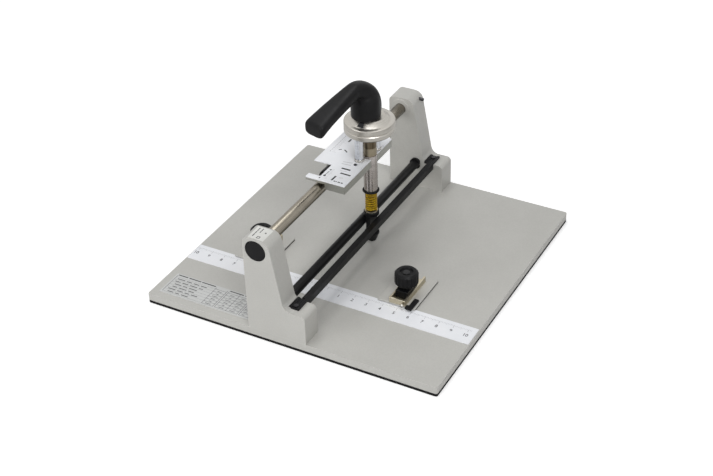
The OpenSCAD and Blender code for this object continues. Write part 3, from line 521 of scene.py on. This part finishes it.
bm = bmesh.new()
for x0, x1 in HEADINGS:
    stroke(bm, (x0, far_y), (x1, far_y), 0.85, PLATE_TOP)
for y, lengths in zip(row_y, WORD_LENGTHS):
    x = WORDS_X + (len(lengths) % 2) * WORD_INDENT
    for length in lengths:
        stroke(bm, (x, y + ROW_MIDDLE), (x + length, y + ROW_MIDDLE), 0.62, PLATE_TOP)
        x += length + WORD_SPACE
for i, y in enumerate(row_y[:-1]):
    for x in VALUES_X:
        # Three lengths, mixed over rows and columns
        half = 1.0 + (i * 7 + int(-x)) % 3 * 0.5
        stroke(bm, (x - half, y + ROW_MIDDLE), (x + half, y + ROW_MIDDLE), 0.42, PLATE_TOP)
add("table_print", bm, "ink_dark", "base")


# ---- Scale plate -----------------------------------------------------------

# Bold marks: from, to, width
BOLD_STROKES = (
    ((-21.8, 21.2), (-21.7, 25.0), 1.17), ((-22.8, 9.7), (-21.2, 11.0), 0.78),
    ((-19.2, 11.2), (-16.3, 9.1), 0.78), ((-8.9, -25.2), (-8.7, -19.6), 1.23),
    ((-10.0, -9.5), (-3.6, -9.6), 1.37), ((-7.9, -15.1), (-0.5, -15.3), 1.23),
    ((-15.7, -21.5), (-15.4, -16.3), 0.39),
)
# Bold dots: x, y, radius
DOTS = ((-15.7, -22.0, 0.85), (-15.4, -14.5, 0.65), (-17.3, -25.8, 0.52))
# A word at the near edge, as four strokes
EDGE_WORD_Y, EDGE_WORD = -25.4, ((-7.2, -6.2), (-5.8, -4.9), (-4.2, -2.4), (-1.9, -0.6))

bm = bmesh.new()
for a, b, width in BOLD_STROKES:
    stroke(bm, a, b, width, DECK_TOP)
for x, y, r in DOTS:
    dot(bm, x, y, r, DECK_TOP)
for x0, x1 in EDGE_WORD:
    stroke(bm, (x0, EDGE_WORD_Y), (x1, EDGE_WORD_Y), 0.91, DECK_TOP)
add("scale_print_dark", bm, "ink_black", "carriage")

# Thin marks: from, to, width
THIN_STROKES = (
    ((-13.0, -2.2), (-6.8, -1.2), 0.5), ((-12.8, -4.6), (-6.2, -4.2), 0.5),
    ((-9.4, -12.4), (-5.0, -12.0), 0.4), ((-6.0, -20.6), (-3.4, -19.8), 0.4),
)
DASH_X, DASH_Y, DASH_STEP, DASH_LEN, DASHES = -27.0, 5.3, 2.3, 1.6, 11
# Two scales: start x, start y, count, long reach, short reach; every fifth is long
SCALES = ((-26.0, 5.8, 19, 3.0, 1.8), (-14.6, -25.0, 10, 2.6, 1.5))
SCALE_STEP, SCALE_W = 1.3, 0.16

bm = bmesh.new()
for i in range(DASHES):
    y = DASH_Y + i * DASH_STEP
    stroke(bm, (DASH_X, y), (DASH_X, y + DASH_LEN), 0.5, DECK_TOP)
for a, b, width in THIN_STROKES:
    stroke(bm, a, b, width, DECK_TOP)
for x, y0, count, far, near in SCALES:
    for i in range(count):
        y = y0 + i * SCALE_STEP
        stroke(bm, (x, y), (x + (near if i % 5 else far), y), SCALE_W, DECK_TOP)
add("scale_print_grey", bm, "ink_pale", "carriage")


# ---- Label on the near upright: a foil that bends round its end ---------------

low, high = box_mm("upright_label")
LABEL_BACK, LABEL_BASE, FOIL_H = low.x, low.z, high.z - low.z
# Radius and start of the upright's rounded end, and the slope that the foil stops at
END_R, END_X, BEND_TO = 6.5, high.x, math.radians(66)
FLAT = END_X - LABEL_BACK
LABEL_LEN = FLAT + END_R * (math.pi / 2 - BEND_TO)


def over_end(s, out):
    """The (x, z) at s along the label from its back, and out above the upright."""
    if s <= FLAT:
        return LABEL_BACK + s, LABEL_BASE + out
    a = min((s - FLAT) / END_R, math.pi / 2)
    return END_X + (END_R + out) * math.sin(a), LABEL_BASE - END_R + (END_R + out) * math.cos(a)


def wrap(bm, s0, s1, y0, y1, out0, out1):
    """A thin sheet that follows the upright's top between two lengths."""
    count = max(1, int((s1 - s0) / 0.4))
    rings = []
    for i in range(count + 1):
        s = s0 + (s1 - s0) * i / count
        (xa, za), (xb, zb) = over_end(s, out0), over_end(s, out1)
        rings.append([bm.verts.new((xa, y0, za)), bm.verts.new((xa, y1, za)),
                      bm.verts.new((xb, y1, zb)), bm.verts.new((xb, y0, zb))])
    skin(bm, rings)


bm = bmesh.new()
wrap(bm, 0, LABEL_LEN, low.y, high.y, 0.0, FOIL_H)
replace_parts(add("upright_foil", bm, "dull_foil", "base"), "upright_label")

# Blank marks: along the label from and to, then across it from and to
LABEL_MARKS = (
    # Two lines of words, and a full stop
    (1.9, 2.5, -101.2, -98.4), (1.9, 2.5, -97.9, -95.6), (1.9, 2.5, -95.2, -93.6),
    (1.9, 2.5, -93.2, -91.9), (4.3, 4.9, -96.4, -94.6), (4.3, 4.9, -94.2, -93.0),
    (4.3, 4.9, -92.7, -91.8), (7.6, 8.6, -95.9, -94.9),
    # The four sides of a small frame
    (5.2, 7.4, -102.2, -101.8), (5.2, 7.4, -100.4, -100.0),
    (5.2, 5.6, -101.8, -100.4), (7.0, 7.4, -101.8, -100.4),
)
bm = bmesh.new()
for s0, s1, y0, y1 in LABEL_MARKS:
    wrap(bm, s0, s1, y0, y1, FOIL_H, FOIL_H + INK)
add("upright_print", bm, "ink_dark", "base")


# ---- Press head: the turned drum, its groove, rim and cone ---------------------

drum_low, drum_high = box_mm("head_drum")
nut_low, nut_high = box_mm("lift_nut")
CONE_Z0, CONE_Z1, CONE_R0, CONE_R1 = drum_high.z - 3.0, drum_high.z, 13.8, 10.2
NUT_GAP = 0.05
drum_r = (drum_high.x - drum_low.x) / 2
inner_r = (nut_high.x - nut_low.x) / 2 + NUT_GAP
groove_z = drum_low.z + (CONE_Z0 - drum_low.z) * 0.55
profile = [
    # Chamfered foot
    (inner_r, drum_low.z), (drum_r - 3.2, drum_low.z), (drum_r - 1.6, drum_low.z + 0.6),
    (drum_r - 0.25, drum_low.z + 1.7), (drum_r, drum_low.z + 2.1),
    # Groove round the rim
    (drum_r, groove_z - 0.6), (drum_r - 0.2, groove_z - 0.25), (drum_r - 0.5, groove_z),
    (drum_r - 0.2, groove_z + 0.25), (drum_r, groove_z + 0.6),
    # Fine line under the top edge, and the edge
    (drum_r, CONE_Z0 - 1.3), (drum_r - 0.2, CONE_Z0 - 1.15), (drum_r, CONE_Z0 - 1.0),
    (drum_r, CONE_Z0 - 0.7), (drum_r - 0.2, CONE_Z0 - 0.2), (drum_r - 0.7, CONE_Z0),
    # Cone
    (CONE_R0 + 0.25, CONE_Z0), (CONE_R0, CONE_Z0 + 0.1), (CONE_R1 + 0.15, CONE_Z1 - 0.1),
    (CONE_R1, CONE_Z1), (inner_r, CONE_Z1),
]
bm = bmesh.new()
lathe(bm, profile, (CUT_X, TOOL_Y, 0), 128, hollow=True)
drum = add("drum_turned", bm, "turned_steel", "carriage", smooth="edges")
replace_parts(drum, "head_drum")

# The black index mark: a thin patch on the cone, between two turns and two heights
MARK_FROM, MARK_TO, MARK_STEPS = math.radians(262), math.radians(281), 6
MARK_FOOT, MARK_HEAD, MARK_DEPTH = 0.06, 0.94, 0.05
bm = bmesh.new()
foot, head = [], []
for i in range(MARK_STEPS + 1):
    a = MARK_FROM + (MARK_TO - MARK_FROM) * i / MARK_STEPS
    for row, f in ((foot, MARK_FOOT), (head, MARK_HEAD)):
        r = CONE_R0 + (CONE_R1 - CONE_R0) * f
        z = CONE_Z0 + (CONE_Z1 - CONE_Z0) * f
        row.append([bm.verts.new((CUT_X + (r + d) * math.cos(a), TOOL_Y + (r + d) * math.sin(a),
                                  z + d)) for d in (-MARK_DEPTH, MARK_DEPTH)])
for i in range(MARK_STEPS):
    a, b, c, d = foot[i], foot[i + 1], head[i + 1], head[i]
    for k in (0, 1):
        bm.faces.new((a[k], b[k], c[k], d[k]))
    bm.faces.new((a[0], b[0], b[1], a[1]))
    bm.faces.new((d[0], c[0], c[1], d[1]))
for i in (0, MARK_STEPS):
    a, d = foot[i], head[i]
    bm.faces.new((a[0], a[1], d[1], d[0]))
add("index_mark", bm, "ink_black", "carriage")


# ---- Lever handle: one smooth moulding over hub, bend and arm ------------------

HUB_BACK_R, HUB_R, HUB_SHIFT, HUB_H, BEND_R = 7.7, 9.8, 3.1, 8.5, 13.8
ARM_LEN, ARM_END_H, ARM_TURN = 49.9, 10.1, math.radians(254)
ARM_W, ARM_T, ARM_END_W, ARM_END_T = 10.7, 9.9, 16.4, 8.0
BEND_STEPS, ARM_SIDES, HUB_SIDES = 12, 48, 96
# How square a section is: 2 is an ellipse, and more is squarer
HUB_POWER, BEND_POWER, ARM_POWER = 2.3, 0.5, 3.0
CROWN, SWELL, SWELL_FROM = 0.385, 1.6, 0.6
# Shares of the arm's length, with the size of the last rings against the rest
ARM_RINGS = ((0.12, 1.0), (0.25, 1.0), (0.4, 1.0), (0.55, 1.0), (0.7, 1.0), (0.83, 1.0),
             (0.93, 1.0), (0.965, 0.98), (0.99, 0.93), (1.0, 0.82))
# The hub's rings: height, and how far each lies inside the full outline
HUB_RINGS = ((0.0, 0.9), (0.25, 0.35), (0.8, 0.0), (3.0, 0.0), (7.0, 0.0), (10.0, 0.2),
             (12.5, 0.6), (15.0, 1.4), (17.0, 2.6), (18.6, 4.2))
VOXEL, SMOOTHING, SMOOTH_ROUNDS = 0.00055, 0.5, 14
# Height in metres over which the skin's foot is drawn down to the CAD handle's foot
FOOT_BLEND = 0.01


def blunt(v, power):
    """A sine or cosine, pushed outwards for a squarer section."""
    return math.copysign(abs(v) ** (2 / power), v)


def arm_ring(bm, reach, h, tilt, w, t, power):
    """A section of the bend or arm, w wide and t thick, at reach and height h."""
    ring = []
    for k in range(ARM_SIDES):
        a = math.tau * (k + 0.5) / ARM_SIDES
        out = t / 2 * blunt(math.sin(a), power)
        ring.append(bm.verts.new((reach - out * math.cos(tilt), w / 2 * blunt(math.cos(a), power),
                                  h + out * math.sin(tilt))))
    return ring


def hub_ring(bm, h, inset):
    """A section of the hub: an outline round a back circle and a shifted front one."""
    ring = []
    for k in range(HUB_SIDES):
        a = math.tau * k / HUB_SIDES
        d = Vector((math.cos(a), math.sin(a)))
        back = d * (HUB_BACK_R - inset)
        front = Vector((HUB_SHIFT, 0)) + d * (HUB_R - inset)
        p = front if front.dot(d) > back.dot(d) else back
        ring.append(bm.verts.new((p.x, p.y, h)))
    return ring


bm = bmesh.new()
rings = [arm_ring(bm, 0, HUB_H / 2, 0, 2 * HUB_BACK_R, 2 * HUB_BACK_R, HUB_POWER)]
for i in range(BEND_STEPS + 1):
    f = i / BEND_STEPS
    tilt = math.pi / 2 * f
    rings.append(arm_ring(bm, BEND_R * (1 - math.cos(tilt)), HUB_H + BEND_R * math.sin(tilt), tilt,
                          2 * HUB_BACK_R * (1 - f) + ARM_W * f,
                          2 * HUB_BACK_R * (1 - f) + ARM_T * f, HUB_POWER + BEND_POWER * f))
bend_h = HUB_H + BEND_R
for f, size in ARM_RINGS:
    swell = SWELL * max(0.0, (f - SWELL_FROM) / (1 - SWELL_FROM)) ** 2
    reach = BEND_R + (ARM_LEN - BEND_R) * f
    h = bend_h + (ARM_END_H - bend_h) * f + CROWN * math.sin(math.pi * f) - swell / 2
    rings.append(arm_ring(bm, reach, h, math.pi / 2, size * (ARM_W + (ARM_END_W - ARM_W) * f),
                          size * (ARM_T + (ARM_END_T - ARM_T) * f + swell), ARM_POWER + f))
skin(bm, rings)
skin(bm, [hub_ring(bm, h, inset) for h, inset in HUB_RINGS])
bmesh.ops.recalc_face_normals(bm, faces=bm.faces[:])
place = Matrix.Translation((CUT_X, TOOL_Y, HANDLE_Z)) @ Matrix.Rotation(ARM_TURN, 4, "Z")
bmesh.ops.transform(bm, matrix=place, verts=bm.verts[:])
handle = add("lever_handle_skin", bm, "handle_plastic", "lever", smooth=True)

# The two shells become one, and its seams are smoothed
remesh = handle.modifiers.new("remesh", "REMESH")
remesh.mode = "VOXEL"
remesh.voxel_size = VOXEL
remesh.use_smooth_shade = True
smooth = handle.modifiers.new("smooth", "SMOOTH")
smooth.factor = SMOOTHING
smooth.iterations = SMOOTH_ROUNDS
bpy.context.view_layer.update()
graph = bpy.context.evaluated_depsgraph_get()
done = bpy.data.meshes.new_from_object(handle.evaluated_get(graph))
handle.modifiers.clear()
handle.data = done
for p in done.polygons:
    p.use_smooth = True
foot_z = min(v.co.z for v in done.vertices)
for v in done.vertices:
    v.co.z += (HANDLE_Z * MM - foot_z) * max(0.0, 1 - (v.co.z - foot_z) / FOOT_BLEND)
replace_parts(handle, "lever_handle")


# ---- Force spring: a round wire with closed ends -------------------------------

spring_low, spring_high = box_mm("force_spring")
WIRE, TURNS, PER_TURN, WIRE_SIDES = 1.15, 8.5, 40, 12
# Rise of each closed end turn, as a share of the wire, and the tool's travel in metres
END_PITCH, FLOAT_TRAVEL = 0.9, 0.003
coil_r = (spring_high.x - spring_low.x - WIRE) / 2
z0, z1 = spring_low.z + WIRE / 2, spring_high.z - WIRE / 2
bm = bmesh.new()
rings = []
for i in range(int(TURNS * PER_TURN) + 1):
    turn = i / PER_TURN
    closed = END_PITCH * WIRE * (min(turn, 1.0) + max(0.0, turn - (TURNS - 1)))
    free = (z1 - z0 - 2 * END_PITCH * WIRE) * min(max((turn - 1) / (TURNS - 2), 0.0), 1.0)
    z = z0 + closed + free
    a = math.tau * turn
    ring = []
    for k in range(WIRE_SIDES):
        b = math.tau * k / WIRE_SIDES
        r = coil_r + WIRE / 2 * math.cos(b)
        # The end turns are ground flat at the spring's two ends
        h = min(max(z + WIRE / 2 * math.sin(b), spring_low.z), spring_high.z)
        ring.append(bm.verts.new((CUT_X + r * math.cos(a), TOOL_Y + r * math.sin(a), h)))
    rings.append(ring)
skin(bm, rings)
coil = add("force_spring_coil", bm, "yellow_paint", "press_tube", smooth=True)
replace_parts(coil, "force_spring")
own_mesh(coil)


# ---- Tool: a body that tapers down to the cutter, and the screw that holds it ---

BODY_H, FLANGE_T, BLADE_HALF, PIN_R = 6.4, 3, 1.55, 2.4
NOSE_R, CUTTER_R, EASE = 2.75, 0.85, 0.25
body_low, body_high = box_mm("tool_holder")
body_r = (body_high.x - body_low.x) / 2
body_top = body_low.z + BODY_H
flange_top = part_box("spring_seat")[0].z / MM
flange_low = flange_top - FLANGE_T

bm = bmesh.new()
lathe(bm, [(NOSE_R, body_low.z), (NOSE_R + 0.3, body_low.z + 0.15), (body_r - 0.3, body_top - 1.3),
           (body_r, body_top - 0.8), (body_r, body_top - EASE), (body_r - EASE, body_top)],
      (CUT_X, TOOL_Y, 0), 64)
lathe(bm, [(body_r - EASE, flange_low), (body_r, flange_low + EASE),
           (body_r, flange_top - EASE), (body_r - EASE, flange_top)], (CUT_X, TOOL_Y, 0), 64)
lathe(bm, [(PIN_R, flange_top - 0.2), (PIN_R, body_high.z - 0.3), (PIN_R - 0.3, body_high.z)],
      (CUT_X, TOOL_Y, 0), 32)
blade_y = body_r - 0.15
slab(bm, [(CUT_X - BLADE_HALF, TOOL_Y - blade_y), (CUT_X + BLADE_HALF, TOOL_Y - blade_y),
          (CUT_X + BLADE_HALF, TOOL_Y + blade_y), (CUT_X - BLADE_HALF, TOOL_Y + blade_y)],
     body_top - 0.2, flange_low + 0.2)
body = add("tool_body", bm, "black_plastic", "tool", smooth="edges")
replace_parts(body, "tool_holder")

cutter_low, cutter_high = box_mm("cutter")
bm = bmesh.new()
lathe(bm, [(0.3, cutter_low.z), (CUTTER_R, cutter_low.z + 0.9), (CUTTER_R, cutter_high.z)],
      (CUT_X, TOOL_Y, 0), 32)
cutter = add("cutter_bit", bm, "dark_steel", "tool", smooth="edges")
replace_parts(cutter, "cutter")

screw_low, screw_high = box_mm("cutter_set_screw")
screw_r = (screw_high.z - screw_low.z) / 2
bm = bmesh.new()
lathe(bm, [(screw_r, screw_low.x - CUT_X), (screw_r, body_r - 1.35)],
      (CUT_X, TOOL_Y, (screw_low.z + screw_high.z) / 2), 24, axis="x")
screw = add("cutter_screw_end", bm, "dark_steel", "tool", smooth="edges")
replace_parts(screw, "cutter_set_screw")


# ---- Side stops: a locating stud on each channel, a six-sided cap in each knob --

# Profiles of (radius, height), and the stud's place from the channel's near corner
STUD = ((0.575, 0), (0.9775, 0.12), (1.15, 0.4), (1.15, 1.3))
STUD_IN, STUD_OUT, STUD_UP = 1.5, 0.9, 1.3
CAP, CAP_DOWN = ((2.6, -0.2), (2.6, 0.5), (2.1, 0.9), (0.8, 1.0)), 1.2

for side in ("right", "left"):
    low, high = box_mm(side + "_stop_channel")
    bm = bmesh.new()
    lathe(bm, STUD, (high.x - STUD_IN, low.y - STUD_OUT, low.z + STUD_UP), 28, "y")
    add(side + "_stop_stud", bm, "polished_steel", side + "_stop", smooth=True)

    low, high = box_mm(side + "_stop_knob")
    bm = bmesh.new()
    lathe(bm, CAP, ((low.x + high.x) / 2, (low.y + high.y) / 2, high.z - CAP_DOWN), 6)
    add(side + "_knob_cap", bm, "knob_cap", side + "_knob")


# ---- Floor: white to the camera, and brighter far away where the lamps fade ----

FLOOR_HALF, FLOOR_Z = 6, -0.0002
GLOW_NEAR, GLOW_FAR, GLOW_FROM, GLOW_TO = 0.34, 0.88, 0.4, 1.8

floor_mesh = bpy.data.meshes.new("floor")
floor_mesh.from_pydata([(-FLOOR_HALF, -FLOOR_HALF, FLOOR_Z), (FLOOR_HALF, -FLOOR_HALF, FLOOR_Z),
                        (FLOOR_HALF, FLOOR_HALF, FLOOR_Z), (-FLOOR_HALF, FLOOR_HALF, FLOOR_Z)],
                       [], [(0, 1, 2, 3)])
floor = bpy.data.objects.new("floor", floor_mesh)
bpy.context.scene.collection.objects.link(floor)
ground = Shader("floor_white", specular=0.1)
ground.colour(ground.mix(ground.noise(3, 2), rgb(248, 248, 248), rgb(250, 250, 250)))
ground.roughness(0.9)
away = ground.nt.nodes.new("ShaderNodeVectorMath")
away.operation = "LENGTH"
ground.link(ground.co, away.inputs[0])
glow = ground.nt.nodes.new("ShaderNodeMath")
glow.operation = "MULTIPLY"
ground.link(ground.nt.nodes.new("ShaderNodeLightPath").outputs["Is Camera Ray"], glow.inputs[0])
ground.link(ground.span(away.outputs["Value"], GLOW_NEAR, GLOW_FAR, GLOW_FROM, GLOW_TO),
            glow.inputs[1])
ground.bsdf.inputs["Emission Color"].default_value = (1, 1, 1, 1)
ground.link(glow.outputs[0], ground.bsdf.inputs["Emission Strength"])
floor_mesh.materials.append(ground.mat)
floor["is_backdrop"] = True


# ---- Lamps and world -----------------------------------------------------------

# Name, place, target, size and power
LAMPS = (
    ("key", (-0.25, 0.2, 1.5), (0, 0, 0.03), (0.9, 0.9), 8),
    ("front_right", (0.9, -0.9, 1.2), (0, 0, 0.04), (0.8, 0.6), 12),
    ("front_left", (-0.7, -1.3, 0.5), (0, 0, 0.04), (0.8, 0.6), 6.5),
    # Two small ones, for the bright lines on the turned steel and the handle
    ("glint_left", (-0.46, -0.39, 1.27), (0, 0.012, 0.125), (0.14, 0.14), 0.9),
    ("glint_front", (0.10, -0.53, 1.30), (0, 0.012, 0.125), (0.14, 0.14), 0.9),
)
for name, place, target, size, power in LAMPS:
    data = bpy.data.lights.new(name, "AREA")
    data.shape = "RECTANGLE"
    data.size, data.size_y = size
    data.energy = power
    lamp = bpy.data.objects.new(name, data)
    bpy.context.scene.collection.objects.link(lamp)
    lamp.location = place
    lamp.rotation_mode = "QUATERNION"
    lamp.rotation_quaternion = (Vector(target) - Vector(place)).to_track_quat("-Z", "Y")

AMBIENT, AMBIENT_COLOUR, BACKDROP = 0.15, (0.97, 0.98, 1, 1), 1.0

world = bpy.data.worlds.new("studio")
bpy.context.scene.world = world
world.use_nodes = True
wt = world.node_tree
wt.nodes.clear()
w_out = wt.nodes.new("ShaderNodeOutputWorld")
seen, ambient = wt.nodes.new("ShaderNodeBackground"), wt.nodes.new("ShaderNodeBackground")
seen.inputs["Color"].default_value = (1, 1, 1, 1)
seen.inputs["Strength"].default_value = BACKDROP
ambient.inputs["Color"].default_value = AMBIENT_COLOUR
ambient.inputs["Strength"].default_value = AMBIENT
path = wt.nodes.new("ShaderNodeLightPath")


def most(a, b):
    """The greater of two values."""
    m = wt.nodes.new("ShaderNodeMath")
    m.operation = "MAXIMUM"
    wt.links.new(a, m.inputs[0])
    wt.links.new(b, m.inputs[1])
    return m.outputs[0]


# White to the camera and in metal and glass, and a dim fill everywhere else
fac = most(most(path.outputs["Is Camera Ray"], path.outputs["Is Glossy Ray"]),
           path.outputs["Is Transmission Ray"])
w_mix = wt.nodes.new("ShaderNodeMixShader")
wt.links.new(fac, w_mix.inputs[0])
wt.links.new(ambient.outputs[0], w_mix.inputs[1])
wt.links.new(seen.outputs[0], w_mix.inputs[2])
wt.links.new(w_mix.outputs[0], w_out.inputs[0])


# ---- Camera --------------------------------------------------------------------

EYE, AIM, ROLL = Vector((0.3785, -0.6836, 0.56)), Vector((-0.0125, 0.0116, 0.007)), -0.029646
LENS, SENSOR = 71.638, 36.0

cam_data = bpy.data.cameras.new("camera")
cam = bpy.data.objects.new("camera", cam_data)
bpy.context.scene.collection.objects.link(cam)
bpy.context.scene.camera = cam
ahead = (AIM - EYE).normalized()
right = ahead.cross(Vector((0, 0, 1))).normalized()
up = right.cross(ahead)
right, up = (right * math.cos(ROLL) + up * math.sin(ROLL),
             up * math.cos(ROLL) - right * math.sin(ROLL))
cam.matrix_world = Matrix.Translation(EYE) @ Matrix((right, up, -ahead)).transposed().to_4x4()
cam_data.sensor_fit = "HORIZONTAL"
cam_data.sensor_width = SENSOR
cam_data.lens = LENS
cam_data.clip_start, cam_data.clip_end = 0.02, 30.0

bpy.context.scene.view_settings.view_transform = "Standard"

low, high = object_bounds()
